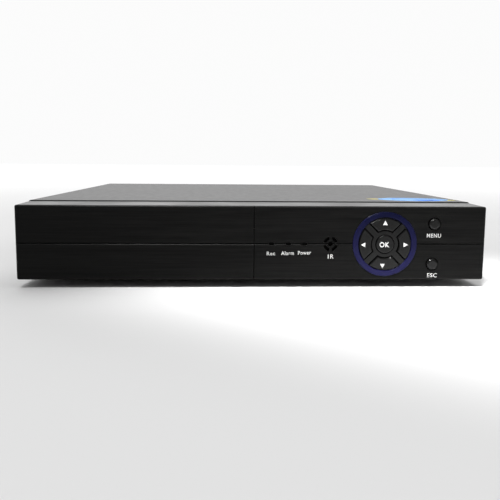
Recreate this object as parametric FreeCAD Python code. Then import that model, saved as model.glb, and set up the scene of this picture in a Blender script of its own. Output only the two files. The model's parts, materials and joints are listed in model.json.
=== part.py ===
import FreeCAD, Part
import math
import os

# Four-channel digital video recorder. Millimetres, +Z up, front face towards -Y.
# The origin is at the bottom centre of the bounding box, between the rubber feet.

V = FreeCAD.Vector

# ---- case ----------------------------------------------------------------
WIDTH = 250.0            # X, over the cover's side walls
DEPTH = 235.0            # Y, front plate to the cover's rear rim
HEIGHT = 45.0            # Z, underside of the feet to the top of the cover
FOOT_HEIGHT = 2.5
SHEET = 1.0              # steel thickness of tray and cover
BUTTON_PROUD = 1.2       # round buttons in front of the plate
JACK_PROUD = 6.0         # signal jacks behind the rear rim

HALF = WIDTH / 2
Y_FACE = BUTTON_PROUD - (BUTTON_PROUD + DEPTH + JACK_PROUD) / 2
Y_REAR = Y_FACE + DEPTH
Y_TIP = Y_REAR + JACK_PROUD
FLOOR = FOOT_HEIGHT + SHEET          # top of the tray's floor

# ---- front ---------------------------------------------------------------
PLATE_T = 1.5
PLATE_Z = (4.4, 44.0)
CORNER_R = 1.0
BEZEL_DEPTH = 21.5       # face to the seam with the cover
BEZEL_REAR_TOP = 44.5    # its top rises from the face's edge to just under the cover's
BEZEL_WALL = 2.0
Y_WALL = Y_FACE + PLATE_T            # front of the bezel's front wall
Y_WALL_BACK = Y_WALL + BEZEL_WALL
Y_SEAM = Y_FACE + BEZEL_DEPTH
GROOVE_Z = 23.75         # long V groove, and the row of lamps and keys on it
GROOVE = 0.5

NAV_X = 70.3
RING_R = (14.3, 17.4)
PETAL_R = (7.7, 13.9)
PETAL_GAP = 2.15         # half the gap between two petals
HUB_R = (5.2, 7.1)
OK_R = 4.8
FLANGE_OUT = 17.0        # outer radius of the key frame's flange
Y_RING = Y_FACE - 0.7
Y_HUB = Y_FACE - 0.2
Y_KEY = Y_FACE - 0.9     # front of the five keys of the pad
SWITCH_RADIUS = 10.8     # pitch radius of the four direction switches
ROUND_BUTTONS = {"menu_button": (96.9, 34.7), "esc_button": (96.4, 12.9)}
ROUND_R = 3.0
ROUND_HOLE_R = 3.5
TRAVEL = 0.6
KEY_GAP = 0.65           # direction keys to the arms between them
STEM_R = 1.5
Y_LIP = Y_WALL_BACK + 1.5            # front of a nav key's retaining lip
LIP_T = 0.8
Y_STEM = Y_FACE + 8.0                # end of every key stem
Y_SWITCH = Y_FACE + 6.9
Y_BOARD = Y_FACE + 10.0
BOARD_T = 1.6

LAMP_X = (9.3, 18.3, 27.1)
LAMP_SIZE = (3.0, 1.4)   # width and height of a lamp's window, a slot on the groove
Y_LAMP = Y_FACE + 0.25   # front of the light pipes
IR_X = 41.0
IR_HOLE_R = 1.35
IR_SLOT_R = (2.3, 4.0)
IR_WINDOW_R = 5.2
TAB_Z = (7, 20)          # side tabs of the bezel, which the cover screws hold
SCREW_Z = 11.0

# ---- rear ----------------------------------------------------------------
COVER_FOOT = 5.4         # lower edge of the cover's side walls
TRAY_BEND = 4.0          # outer bend radius of the tray, floor to sides
TRAY_HALF = HALF - 1.2   # tray, inside the cover's side walls
SIDE_SLOTS = 14
SIDE_SLOT = (-20.0, 6.0, 2.2, 18, 34)         # first y, pitch, width, lower and upper ends
FLOOR_SLOTS = 9
FLOOR_SLOT = (-60.0, 12.0, 3.0, 50, 80)       # first x, pitch, width, front and rear ends
FEET = [(side * 95, y) for side in (-1, 1) for y in (Y_FACE + 45, Y_REAR - 32)]
FOOT_R = 8.0
RIM_TOP = 3.8
RIM_SIDE_TOP = 4.8
RIM_SIDE_FOOT = 3.5
PANEL_T = 0.5
Y_PANEL = Y_REAR - 2.0               # outer face of the printed panel
Y_WALL_REAR = Y_PANEL - PANEL_T      # outer face of the tray's rear wall
Y_INSIDE = Y_WALL_REAR - SHEET

COLUMNS = (55.4, 37.4, 19.4)         # stacked video jacks
ROW_HIGH = 32.5
ROW_LOW = 17.5
BNC_PLACES = [(x, ROW_HIGH) for x in COLUMNS] + [(x, ROW_LOW) for x in COLUMNS[:2]]
AUDIO_OUT = (COLUMNS[2], ROW_LOW)
BNC_R = 4.8
BNC_BORE = 4.1
FLANGE_R = 6.3
TAIL_R = 5.4
RCA_R = 4.15
RCA_NECK_R = 3.8
RCA_BORE = 3.2
RCA_PROUD = 7.8
AUDIO_X = (-28.0, -41.5)
AUDIO_Z = (30.7, 17.1)
AUDIO_IN = [(x, z) for z in AUDIO_Z for x in AUDIO_X]
AUDIO_SCREW = (-34.75, 23.8)
BOSS_R = 4.9
Y_TAIL = Y_PANEL - 6.0               # inner end of the jacks' bodies
FLANGE_T = 1.4

VGA = (-4.9, 33.4)
VGA_SIZE = (16.9, 8.4)
VGA_SCREW_PITCH = 25.0
HD_PORT = (-0.2, 14.3)
HD_SIZE = (15.0, 5.8)
TOWER_X = -59.6
TOWER_HALF = 8.95
TOWER_TOP = 40.8
TOWER_PROUD = 0.8
LINK_LAMP_X = (3.8, 7.7)             # windows of the link lamps, each side of the tower's axis
LINK_LAMP_Z = (37.5, 39.5)
USB_Z = (13.9, 22.6)
USB_SIZE = (12.3, 4.9)
LAN_Z = (29.2, 36.7)
HEADER_X = (-79.7, -70.7)
HEADER_Z = (10.3, 17.6)
HEADER_PITCH = 3.8
DC_X = (-89.4, -79.8)
DC_TOP = 21.3
DC_HOLE = (-84.6, 16.7)
GROUND = (-93.1, 32.1)

# ---- inside --------------------------------------------------------------
MAIN_BOARD = (-104.0, 72.0, 24.0, 110.8)      # x0, x1, y0, y1
BOARD_Z = 8.5
BOARD_TOP = BOARD_Z + BOARD_T
BOARD_HOLES = [(-98.0, 30.0), (66.0, 30.0), (-98.0, 104.0), (67.5, 104.0)]
KEYPAD_HOLES = [(4.5, 12.0), (4.5, 36.0), (109.0, 12.0), (109.0, 36.0)]

DISK = (-112.0, -89.0, 6.0)          # lowest corner of the hard disk
DISK_L = 147.0
DISK_W = 101.6
DISK_BASE_H = 22.6
DISK_FLOOR = 6.0
SPINDLE = (50.8, 50.8)               # in the disk's own frame, as are the next ones
PIVOT = (108.0, 66.0)
HUB_TOP = 14.8
COIL_Z = 11.7
YOKE_Z = (8.2, 14.4)
YOKE_R = (9.5, 31.0)
YOKE_T = 2.6
PLATTER_R = 47.5
PLATTER_Z = 12.0
PLATTER_T = 1.3
PARKED = 247.3                       # direction of the arm when parked, degrees
ARM_LENGTH = 52.0
CAP_SCREWS = ((5, 5), (DISK_L - 5, 5), (5, DISK_W - 5), (DISK_L - 5, DISK_W - 5),
              (89, 2.2), (89, DISK_W - 2.2))
CAP_SCREW_R = 1.0
PROCESSOR = (-32, -9, 48, 71)        # x0, x1, y0, y1
HEATSINK = (-39, -2, 41, 78)
FINS = 10
FIN_PITCH = 3.9
MEMORY = [(-66, 36), (-52, 36), (-66, 56), (-52, 56)]
COILS = [(4, 62), (17, 62), (30, 62)]
CAPACITORS = [(-92, 78), (-81, 78), (-70, 78), (-59, 78)]
COIN_CELL = (54.0, 74.0, 10.0)       # x, y, radius
LEAD_X = (40.0, 56.0)                # disk signal and power headers
PLUG_Z = (10.3, 15.7)
BUZZER = (-84.0, 44.0)
DISK_HOLES = [(x, y) for x in (DISK_L - 41.28, DISK_L - 117.48) for y in (3.18, DISK_W - 3.18)]


# ---- helpers -------------------------------------------------------------
def box(x0, x1, y0, y1, z0, z1):
    return Part.makeBox(x1 - x0, y1 - y0, z1 - z0, V(x0, y0, z0))


def rod(x, z, r, y0, y1):
    """Cylinder along Y."""
    return Part.makeCylinder(r, y1 - y0, V(x, y0, z), V(0, 1, 0))


def pipe(x, z, r_in, r_out, y0, y1):
    return rod(x, z, r_out, y0, y1).cut(rod(x, z, r_in, y0, y1))


def post(x, y, r, z0, z1):
    """Cylinder along Z."""
    return Part.makeCylinder(r, z1 - z0, V(x, y, z0))


def prism(points, along):
    face = Part.Face(Part.makePolygon([V(*p) for p in points] + [V(*points[0])]))
    return face.extrude(V(*along))


def prism_y(points, y0, y1):
    """Polygon of (x, z) points, extruded along Y."""
    return prism([(x, y0, z) for x, z in points], (0, y1 - y0, 0))


def turn(shape, x, z, degrees):
    """Copy turned about an axis along Y."""
    copy = shape.copy()
    copy.rotate(V(x, 0, z), V(0, 1, 0), degrees)
    return copy


def edges_along(shape, axis):
    found = []
    for edge in shape.Edges:
        if isinstance(edge.Curve, Part.Line) and abs(abs(edge.Curve.Direction.dot(axis)) - 1) < 1e-6:
            found.append(edge)
    return found


def edges_at_y(shape, y):
    return [e for e in shape.Edges if abs(e.BoundBox.YMin - y) < 1e-4 and abs(e.BoundBox.YMax - y) < 1e-4]


def rounded(shape, axis, r):
    return shape.makeFillet(r, edges_along(shape, V(*axis)))


def soft_front(shape, y, r):
    """Rounds the edges of the flat end at y."""
    return shape.makeFillet(r, edges_at_y(shape, y))


def screw(head_r, head_h, shank_r, length):
    """Pan-head cross-recess screw: underside of the head at z = 0, shank down."""
    head = Part.makeCylinder(head_r, head_h)
    head = head.makeFillet(head_h * 0.6, [e for e in head.Edges if e.BoundBox.ZMin > head_h - 1e-4])
    arm = head_r * 0.62
    slot = 0.18 * head_r
    depth = head_h * 0.7
    for dx, dy in ((arm, slot), (slot, arm)):
        head = head.cut(box(-dx, dx, -dy, dy, head_h - depth, head_h + 1))
    return head.fuse(Part.makeCylinder(shank_r, length + 0.1, V(0, 0, -length)))


def placed(shape, point, axis):
    """Copy with its +Z turned to axis and its origin moved to point."""
    copy = shape.copy()
    copy.Placement = FreeCAD.Placement(V(*point), FreeCAD.Rotation(V(0, 0, 1), V(*axis)))
    return copy


def cable(points, diameter):
    """Round cable on straight runs joined by the largest tangent arcs they allow."""
    corners = [V(*p) for p in points]
    edges = []
    here = corners[0]
    for before, corner, after in zip(corners, corners[1:], corners[2:]):
        run_in = corner - before
        run_out = after - corner
        setback = 0.45 * min(run_in.Length, run_out.Length)
        half_turn = run_in.getAngle(run_out) / 2
        radius = setback / math.tan(half_turn)
        run_in.normalize()
        run_out.normalize()
        start = corner - run_in * setback
        end = corner + run_out * setback
        inward = (run_out - run_in).normalize()
        middle = corner + inward * (radius / math.cos(half_turn) - radius)
        edges.append(Part.LineSegment(here, start).toShape())
        edges.append(Part.Arc(start, middle, end).toShape())
        here = end
        print("cable bend radius %.1f mm" % radius)
    edges.append(Part.LineSegment(here, corners[-1]).toShape())
    first = (corners[1] - corners[0]).normalize()
    circle = Part.Wire(Part.makeCircle(diameter / 2, corners[0], first))
    return Part.Wire(edges).makePipeShell([circle], True, False)


def save(name, *shapes):
    solids = []
    for shape in shapes:
        solids += shape.removeSplitter().Solids
    whole = solids[0] if len(solids) == 1 else Part.makeCompound(solids)
    whole.exportStep("parts/%s.step" % name)


# ---- front ---------------------------------------------------------------
def slab(y0, y1, inset=0.0):
    """Full front outline between two depths, with its round corners."""
    low, high = PLATE_Z
    block = box(-HALF + inset, HALF - inset, y0, y1, low + inset, high - inset)
    return rounded(block, (0, 1, 0), CORNER_R)


def ir_slot(angle):
    """One of the four short arc slots round the remote eye."""
    wedge = prism_y([(IR_X, GROOVE_Z), (IR_X + 8, GROOVE_Z + 5.2), (IR_X + 8, GROOVE_Z - 5.2)],
                    Y_FACE - 1, Y_WALL + 0.1)
    arc = pipe(IR_X, GROOVE_Z, *IR_SLOT_R, Y_FACE - 1, Y_WALL).common(wedge)
    return turn(arc, IR_X, GROOVE_Z, angle)


def lamp_slot(x, gap, y0, y1):
    """Slot with round ends, the outline of a lamp's window grown by a gap."""
    half_w = LAMP_SIZE[0] / 2 + gap
    r = LAMP_SIZE[1] / 2 + gap
    block = box(x - half_w + r, x + half_w - r, y0, y1, GROOVE_Z - r, GROOVE_Z + r)
    ends = [rod(x + side * (half_w - r), GROOVE_Z, r, y0, y1) for side in (-1, 1)]
    return block.fuse(ends).removeSplitter()


def front_plate():
    low, high = PLATE_Z
    plate = slab(Y_FACE, Y_WALL)
    plate = plate.makeChamfer(0.55, edges_at_y(plate, Y_FACE))
    start = -HALF - 1
    front = Y_FACE - 0.01
    split = high - 12
    groove = prism([(start, front, GROOVE_Z - GROOVE), (start, front, GROOVE_Z + GROOVE),
                    (start, Y_FACE + GROOVE, GROOVE_Z)], (WIDTH + 2, 0, 0))
    centre_line = prism([(-0.3, front, low - 1), (0.3, front, low - 1), (0, Y_FACE + GROOVE, low - 1)],
                        (0, 0, high - low + 2))
    upper_line = box(-0.45, 0.45, Y_FACE - 1, Y_FACE + 1.0, split, high + 1)
    cuts = [groove, centre_line, upper_line, rod(NAV_X, GROOVE_Z, RING_R[1] + 0.1, Y_FACE - 1, Y_WALL + 1)]
    cuts += [rod(x, z, ROUND_HOLE_R, Y_FACE - 1, Y_WALL + 1) for x, z in ROUND_BUTTONS.values()]
    cuts += [lamp_slot(x, 0.1, Y_FACE - 1, Y_WALL + 1) for x in LAMP_X]
    cuts += [rod(IR_X, GROOVE_Z, IR_HOLE_R, Y_FACE - 1, Y_WALL + 1)]
    cuts += [ir_slot(angle) for angle in (45, 135, 225, 315)]
    return plate.cut(cuts)


def front_bezel():
    low, high = PLATE_Z
    wall = BEZEL_WALL
    shell = prism([(-HALF, Y_WALL, low), (-HALF, Y_SEAM, low), (-HALF, Y_SEAM, BEZEL_REAR_TOP),
                   (-HALF, Y_WALL, high)], (WIDTH, 0, 0))
    sides = [e for e in shell.Edges if e.BoundBox.YLength > BEZEL_DEPTH / 2]
    shell = shell.makeFillet(CORNER_R, sides)
    shell = shell.cut(slab(Y_WALL, Y_WALL + 0.5).cut(slab(Y_WALL, Y_WALL + 0.5, 0.45)))
    shell = shell.cut(box(-HALF + wall, HALF - wall, Y_WALL_BACK, Y_SEAM + 1, low + wall, high - wall))
    for side in (-1, 1):
        inner, outer = sorted((side * 120.6, side * 123.2))
        root = box(inner, outer, Y_WALL_BACK, Y_SEAM, *TAB_Z)
        inner, outer = sorted((side * 120.6, side * 122.6))
        tab = box(inner, outer, Y_SEAM - 1, Y_SEAM + 16, *TAB_Z)
        shell = shell.fuse([root, tab])
    for x, z in KEYPAD_HOLES:
        shell = shell.fuse(rod(x, z, 2.6, Y_WALL_BACK - 0.2, Y_BOARD))
    cuts = [rod(x, z, 1.15, Y_WALL_BACK + 0.5, Y_BOARD + 1) for x, z in KEYPAD_HOLES]
    cuts += [rod(NAV_X, GROOVE_Z, RING_R[0], Y_WALL - 1, Y_WALL_BACK + 1)]
    cuts += [rod(x, z, ROUND_HOLE_R, Y_WALL - 1, Y_WALL_BACK + 1) for x, z in ROUND_BUTTONS.values()]
    cuts += [lamp_slot(x, 0.1, Y_WALL - 1, Y_WALL_BACK + 1) for x in LAMP_X]
    cuts += [rod(IR_X, GROOVE_Z, 4.0, Y_WALL - 1, Y_WALL_BACK + 1)]
    cuts += [rod(IR_X, GROOVE_Z, IR_WINDOW_R + 0.1, Y_WALL - 1, Y_WALL + 1.0)]
    for side in (-1, 1):
        cuts.append(Part.makeCylinder(1.3, 6, V(side * 119, Y_SEAM + 7.5, SCREW_Z), V(side, 0, 0)))
    return shell.cut(cuts)


def nav_ring():
    return soft_front(pipe(NAV_X, GROOVE_Z, *RING_R, Y_RING, Y_WALL), Y_RING, 0.6)


def nav_frame():
    """Hub and four diagonal arms between the keys, on a flange behind the bezel."""
    flange_y = (Y_WALL_BACK, Y_WALL_BACK + 1.2)
    half_arm = PETAL_GAP - KEY_GAP
    arms = []
    for angle in (45, 135):
        arm = box(NAV_X - FLANGE_OUT, NAV_X + FLANGE_OUT, Y_HUB, flange_y[1],
                  GROOVE_Z - half_arm, GROOVE_Z + half_arm)
        arms.append(turn(arm, NAV_X, GROOVE_Z, angle))
    cross = arms[0].fuse(arms[1])
    reach = rod(NAV_X, GROOVE_Z, RING_R[0] - 0.05, Y_FACE - 1, flange_y[0] + 0.1)
    reach = reach.fuse(rod(NAV_X, GROOVE_Z, FLANGE_OUT, *flange_y))
    frame = cross.common(reach)
    frame = frame.fuse(rod(NAV_X, GROOVE_Z, HUB_R[1], Y_HUB, flange_y[1]))
    frame = frame.fuse(pipe(NAV_X, GROOVE_Z, RING_R[0] - 0.05, FLANGE_OUT, *flange_y))
    return frame.cut(rod(NAV_X, GROOVE_Z, HUB_R[0], Y_FACE - 1, flange_y[1] + 1))


def petal_block(r_in, r_out, half_gap, y0, y1):
    """Ring sector between two diagonals, towards +X of the pad's centre."""
    start = half_gap * math.sqrt(2)
    wedge = prism_y([(NAV_X + start, GROOVE_Z), (NAV_X + start + 20, GROOVE_Z + 20),
                     (NAV_X + start + 20, GROOVE_Z - 20)], y0, y1)
    return pipe(NAV_X, GROOVE_Z, r_in, r_out, y0, y1).common(wedge)


def petal(angle):
    """Direction key: cap, wider retaining lip behind the frame, and stem."""
    cap = soft_front(petal_block(*PETAL_R, PETAL_GAP, Y_KEY, Y_LIP), Y_KEY, 0.5)
    lip = petal_block(PETAL_R[0] - 1.0, PETAL_R[1] + 1.3, PETAL_GAP - 0.9, Y_LIP, Y_LIP + LIP_T)
    stem = rod(NAV_X + SWITCH_RADIUS, GROOVE_Z, STEM_R, Y_LIP + LIP_T, Y_STEM)
    return turn(cap.fuse([lip, stem]), NAV_X, GROOVE_Z, angle)


def ok_button():
    cap = soft_front(rod(NAV_X, GROOVE_Z, OK_R, Y_KEY, Y_LIP), Y_KEY, 0.5)
    lip = rod(NAV_X, GROOVE_Z, OK_R + 1.0, Y_LIP, Y_LIP + LIP_T)
    return cap.fuse([lip, rod(NAV_X, GROOVE_Z, STEM_R, Y_LIP + LIP_T, Y_STEM)])


def round_button(x, z):
    front = Y_FACE - BUTTON_PROUD
    y_lip = Y_WALL_BACK + 0.3
    cap = soft_front(rod(x, z, ROUND_R, front, y_lip), front, 1.1)
    lip = rod(x, z, ROUND_R + 1.3, y_lip, y_lip + LIP_T)
    return cap.fuse([lip, rod(x, z, STEM_R, y_lip + LIP_T, Y_STEM)])


def switch_places():
    places = [(NAV_X, GROOVE_Z)] + list(ROUND_BUTTONS.values())
    for dx, dz in ((1, 0), (-1, 0), (0, 1), (0, -1)):
        places.append((NAV_X + dx * SWITCH_RADIUS, GROOVE_Z + dz * SWITCH_RADIUS))
    return places


def tact_switch(x, z):
    body = box(x - 3.1, x + 3.1, Y_SWITCH, Y_BOARD, z - 3.1, z + 3.1)
    return body.cut(rod(x, z, STEM_R + 0.3, Y_SWITCH - 1, Y_STEM + TRAVEL + 0.6))


def light_pipe(x):
    pin = soft_front(lamp_slot(x, 0.0, Y_LAMP, Y_BOARD - 1.7), Y_LAMP, 0.3)
    return pin.fuse(rod(x, GROOVE_Z, 2.0, Y_WALL_BACK, Y_WALL_BACK + 1.0))


def lamp(x):
    return box(x - 1.5, x + 1.5, Y_BOARD - 1.5, Y_BOARD, GROOVE_Z - 1, GROOVE_Z + 1)


def ir_receiver():
    body = box(IR_X - 3, IR_X + 3, Y_FACE + 6.5, Y_BOARD, GROOVE_Z - 3.5, GROOVE_Z + 3.5)
    return body.fuse(Part.makeSphere(2.3, V(IR_X, Y_FACE + 6.6, GROOVE_Z)))


def keypad_board():
    board = box(1, 113, Y_BOARD, Y_BOARD + BOARD_T, 7.6, 40.8)
    return board.cut([rod(x, z, 1.6, Y_BOARD - 1, Y_BOARD + 3) for x, z in KEYPAD_HOLES])


# ---- case ----------------------------------------------------------------
def case_screw_places():
    return [(side, y) for side in (-1, 1) for y in (Y_SEAM + 7.5, Y_REAR - 12)]


def top_cover():
    y0 = Y_SEAM + 0.2
    foot = COVER_FOOT
    top = HEIGHT
    outer = box(-HALF, HALF, y0, Y_REAR, foot, top)
    edges = []
    for edge in outer.Edges:
        bounds = edge.BoundBox
        top_side = bounds.ZMin > top - 1e-4 and bounds.YLength > 1
        rear_edge = bounds.YMin > Y_REAR - 1e-4 and bounds.ZMax > foot + 1
        if top_side or rear_edge:
            edges.append(edge)
    outer = outer.makeFillet(1.2, edges)
    inner = box(-HALF + SHEET, HALF - SHEET, y0 - 1, Y_REAR - SHEET, foot - 1, top - SHEET)
    upper = HALF - RIM_SIDE_TOP
    lower = HALF - RIM_SIDE_FOOT
    mouth = prism_y([(-upper, top - RIM_TOP), (upper, top - RIM_TOP),
                     (lower, foot - 1), (-lower, foot - 1)], Y_REAR - 3, Y_REAR + 1)
    first, pitch, width, slot_foot, slot_top = SIDE_SLOT
    cuts = [inner, mouth]
    for side in (-1, 1):
        corner = (side * upper, top - RIM_TOP)
        end = (side * (HALF - 0.9), top - 0.9)
        cuts.append(prism_y([corner, end, (end[0], end[1] - 0.3), (corner[0], corner[1] - 0.3)],
                            Y_REAR - 1.3, Y_REAR + 1))
        x0, x1 = sorted((side * (HALF - 2), side * (HALF + 1)))
        for k in range(SIDE_SLOTS):
            y = first + pitch * k
            slot = box(x0, x1, y, y + width, slot_foot, slot_top)
            cuts.append(rounded(slot, (1, 0, 0), width / 2 - 0.05))
    for side, y in case_screw_places():
        cuts.append(Part.makeCylinder(1.7, 3, V(side * (HALF - 2), y, SCREW_Z), V(side, 0, 0)))
        cuts.append(Part.makeCone(1.7, 3.2, SHEET, V(side * (HALF - SHEET), y, SCREW_Z), V(side, 0, 0)))
    return outer.cut(cuts)


def tray_block(inset, y0, y1, top):
    """Section of the tray with its two lower bends."""
    half = TRAY_HALF - inset
    block = box(-half, half, y0, y1, FOOT_HEIGHT + inset, top)
    low = [e for e in edges_along(block, V(0, 1, 0)) if e.BoundBox.ZMax < FOOT_HEIGHT + inset + 0.1]
    return block.makeFillet(TRAY_BEND - inset, low)


def chassis_tray():
    y0 = Y_SEAM + 0.2
    y1 = Y_REAR - SHEET - 0.1
    tray = tray_block(0, y0, y1, 18.0).cut(tray_block(SHEET, y0 - 1, y1 + 1, 19.0))
    rear = tray_block(0, Y_INSIDE, Y_WALL_REAR, 43.3)
    hem = box(-117, 117, y1 - 0.1, Y_REAR, FOOT_HEIGHT, FOOT_HEIGHT + 1.4)
    front = box(-118, 118, y0, y0 + SHEET, FOOT_HEIGHT, 26)
    tray = tray.fuse([hem, rear, front])
    cuts = panel_cutters(0.0) + [box(88, 102, Y_SEAM - 1, Y_SEAM + 3, 8, 27)]
    cuts += [post(x, y, 1.7, 0, 6) for x, y in disk_hole_places()]
    cuts += [post(x, y, 1.4, 0, 6) for x, y in BOARD_HOLES]
    first, pitch, width, slot_front, slot_rear = FLOOR_SLOT
    for k in range(FLOOR_SLOTS):
        x = first + pitch * k
        slot = box(x, x + width, slot_front, slot_rear, 0, 6)
        cuts.append(rounded(slot, (0, 0, 1), width / 2 - 0.05))
    for side, y in case_screw_places():
        cuts.append(Part.makeCylinder(1.35, 6, V(side * 119, y, SCREW_Z), V(side, 0, 0)))
    return tray.cut(cuts)


def rear_panel():
    sheet = box(-122.4, 122.4, Y_WALL_REAR, Y_PANEL, FLOOR + 0.4, 43.2)
    low = [e for e in edges_along(sheet, V(0, 1, 0)) if e.BoundBox.ZMax < FLOOR + 1]
    return sheet.makeFillet(TRAY_BEND, low).cut(panel_cutters(0.15))


def rubber_foot(x, y):
    foot = post(x, y, FOOT_R, 0, FOOT_HEIGHT)
    foot = foot.makeFillet(0.8, [e for e in foot.Edges if e.BoundBox.ZMax < 1e-4])
    return foot.cut(post(x, y, 3.2, -1, 0.9))


def case_screw():
    """Countersunk screw, flush at z = 0, shank down."""
    head = Part.makeCone(1.6, 3.1, 1.0, V(0, 0, -1.0))
    shank = Part.makeCylinder(1.3, 5.0, V(0, 0, -5.5))
    body = head.fuse(shank)
    for dx, dy in ((1.7, 0.35), (0.35, 1.7)):
        body = body.cut(box(-dx, dx, -dy, dy, -0.8, 1))
    return body


# ---- rear connectors -----------------------------------------------------
def d_block(grow, y0, y1):
    """Trapezoid of the monitor socket, with its round corners."""
    x, z = VGA
    half_w = VGA_SIZE[0] / 2 + grow
    half_h = VGA_SIZE[1] / 2 + grow
    slope = 2 * half_h * math.tan(math.radians(10))
    block = prism_y([(x - half_w, z + half_h), (x + half_w, z + half_h),
                     (x + half_w - slope, z - half_h), (x - half_w + slope, z - half_h)], y0, y1)
    return rounded(block, (0, 1, 0), 2.2 + grow)


def hd_block(grow, y0, y1):
    x, z = HD_PORT
    half_w = HD_SIZE[0] / 2 + grow
    half_h = HD_SIZE[1] / 2 + grow
    return prism_y([(x - half_w, z + half_h), (x + half_w, z + half_h), (x + half_w, z - 0.6),
                    (x + half_w - 2.2, z - half_h), (x - half_w + 2.2, z - half_h), (x - half_w, z - 0.6)],
                   y0, y1)


def panel_cutters(grow):
    """Every opening of the rear wall and of the printed panel."""
    y0 = Y_INSIDE - 1
    y1 = Y_PANEL + 1
    cuts = [rod(x, z, TAIL_R + 0.2 + grow, y0, y1) for x, z in BNC_PLACES + [AUDIO_OUT]]
    cuts += [rod(x, z, BOSS_R + 0.1 + grow, y0, y1) for x, z in AUDIO_IN]
    cuts += [rod(x, z, 1.6 + grow, y0, y1) for x, z in (AUDIO_SCREW, GROUND)]
    cuts += [rod(x, VGA[1], 1.6 + grow, y0, y1) for x in vga_screw_places()]
    cuts += [d_block(0.2 + grow, y0, y1), hd_block(0.2 + grow, y0, y1)]
    gap = 0.2 + grow
    beside = TOWER_HALF + 0.45 + grow
    cuts.append(box(TOWER_X - beside, TOWER_X + beside, y0, y1, BOARD_TOP - 0.3, TOWER_TOP + gap))
    cuts.append(box(HEADER_X[0] - 0.05, HEADER_X[1] + gap, y0, y1, BOARD_TOP, HEADER_Z[1] + gap))
    cuts.append(box(DC_X[0] - gap, DC_X[1] + 0.05, y0, y1, BOARD_TOP, DC_TOP + gap))
    return cuts


def bnc_housing(x):
    block = box(x - 7.2, x + 7.2, Y_INSIDE - 19, Y_INSIDE, BOARD_TOP, 40.0)
    for z in (ROW_LOW, ROW_HIGH):
        block = block.cut(rod(x, z, TAIL_R + 0.05, Y_TAIL, Y_PANEL))
    return block


def jack_flange(x, z):
    flange = soft_front(rod(x, z, FLANGE_R, Y_PANEL, Y_PANEL + FLANGE_T), Y_PANEL + FLANGE_T, 0.4)
    return flange.fuse(rod(x, z, TAIL_R, Y_TAIL, Y_PANEL + 0.5))


def bnc_shell(x, z):
    body = jack_flange(x, z)
    barrel = rod(x, z, BNC_R, Y_PANEL + 1.0, Y_TIP)
    barrel = barrel.makeChamfer(0.3, edges_at_y(barrel, Y_TIP))
    lugs = Part.makeCylinder(0.95, 11.0, V(x - 5.5, Y_TIP - 3.4, z), V(1, 0, 0))
    body = body.fuse([barrel, lugs])
    return body.cut(rod(x, z, BNC_BORE, Y_PANEL - 3, Y_TIP + 1))


def bnc_insulator(x, z):
    body = rod(x, z, BNC_BORE, Y_PANEL - 3, Y_PANEL - 0.5)
    body = body.fuse(rod(x, z, 2.45, Y_PANEL - 1, Y_TIP - 1.6))
    return body.cut(rod(x, z, 0.95, Y_PANEL - 4, Y_TIP))


def bnc_contact(x, z):
    pin = pipe(x, z, 0.55, 0.95, Y_PANEL - 3, Y_TIP - 4.6)
    return pin.cut(box(x - 0.12, x + 0.12, Y_TIP - 7.5, Y_TIP, z - 2, z + 2))


def rca_shell(x, z, flanged):
    """Barrel on a thinner neck; its shoulder seats on the moulded boss, or it carries a flange."""
    body = rod(x, z, RCA_R, Y_PANEL + 1.0, Y_PANEL + RCA_PROUD)
    body = body.makeChamfer(0.3, edges_at_y(body, Y_PANEL + RCA_PROUD))
    body = body.fuse(rod(x, z, RCA_NECK_R, Y_TAIL, Y_PANEL + 1.5))
    if flanged:
        body = body.fuse(jack_flange(x, z))
    return body.cut(rod(x, z, RCA_BORE, Y_PANEL - 5, Y_PANEL + RCA_PROUD + 1))


def rca_insulator(x, z):
    body = rod(x, z, RCA_BORE, Y_PANEL - 5, Y_PANEL + RCA_PROUD - 0.7)
    return body.cut(rod(x, z, 1.6, Y_PANEL - 3.5, Y_PANEL + RCA_PROUD))


def audio_jack_block():
    x, z = AUDIO_SCREW
    block = box(x - 13.4, x + 13.4, Y_INSIDE - 13, Y_INSIDE, BOARD_TOP, 37.2)
    for px, pz in AUDIO_IN:
        block = block.fuse(rod(px, pz, BOSS_R, Y_INSIDE - 1, Y_PANEL + 1.0))
    cuts = [rod(px, pz, RCA_NECK_R + 0.02, Y_TAIL, Y_PANEL + 2) for px, pz in AUDIO_IN]
    return block.cut(cuts + [rod(x, z, 1.25, Y_INSIDE - 8, Y_INSIDE + 1)])


def vga_screw_places():
    return (VGA[0] - VGA_SCREW_PITCH / 2, VGA[0] + VGA_SCREW_PITCH / 2)


def vga_shell():
    x, z = VGA
    proud = Y_PANEL + 5.6
    sleeve = d_block(0.0, Y_INSIDE - 0.8, proud)
    flange = box(x - 15.4, x + 15.4, Y_INSIDE - 0.8, Y_INSIDE, z - 6.2, z + 6.2)
    holes = [rod(px, z, 1.5, Y_INSIDE - 2, Y_INSIDE + 1) for px in vga_screw_places()]
    return sleeve.fuse(flange).cut(holes + [d_block(-0.45, Y_INSIDE - 2, proud + 1)])


def vga_insert():
    x, z = VGA
    core = d_block(-0.5, Y_INSIDE - 0.8, Y_PANEL + 5.2)
    cuts = []
    for row in (-1, 0, 1):
        shift = 1.145 if row == 0 else 0.0
        for k in range(5):
            px = x + (k - 2) * 2.29 + shift - 0.57
            cuts.append(rod(px, z + row * 1.98, 0.55, Y_PANEL + 1, Y_PANEL + 6))
    return core.cut(cuts)


def vga_housing():
    x, z = VGA
    y1 = Y_INSIDE - 0.8
    upper = box(x - 15.4, x + 15.4, y1 - 11, y1, z - 6.2, z + 6.2)
    leg = box(x - 12, x + 12, y1 - 11, y1 - 11 + 2.2, BOARD_TOP, z - 6)
    return upper.fuse(leg).cut([rod(px, z, 1.5, y1 - 6, y1 + 1) for px in vga_screw_places()])


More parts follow.
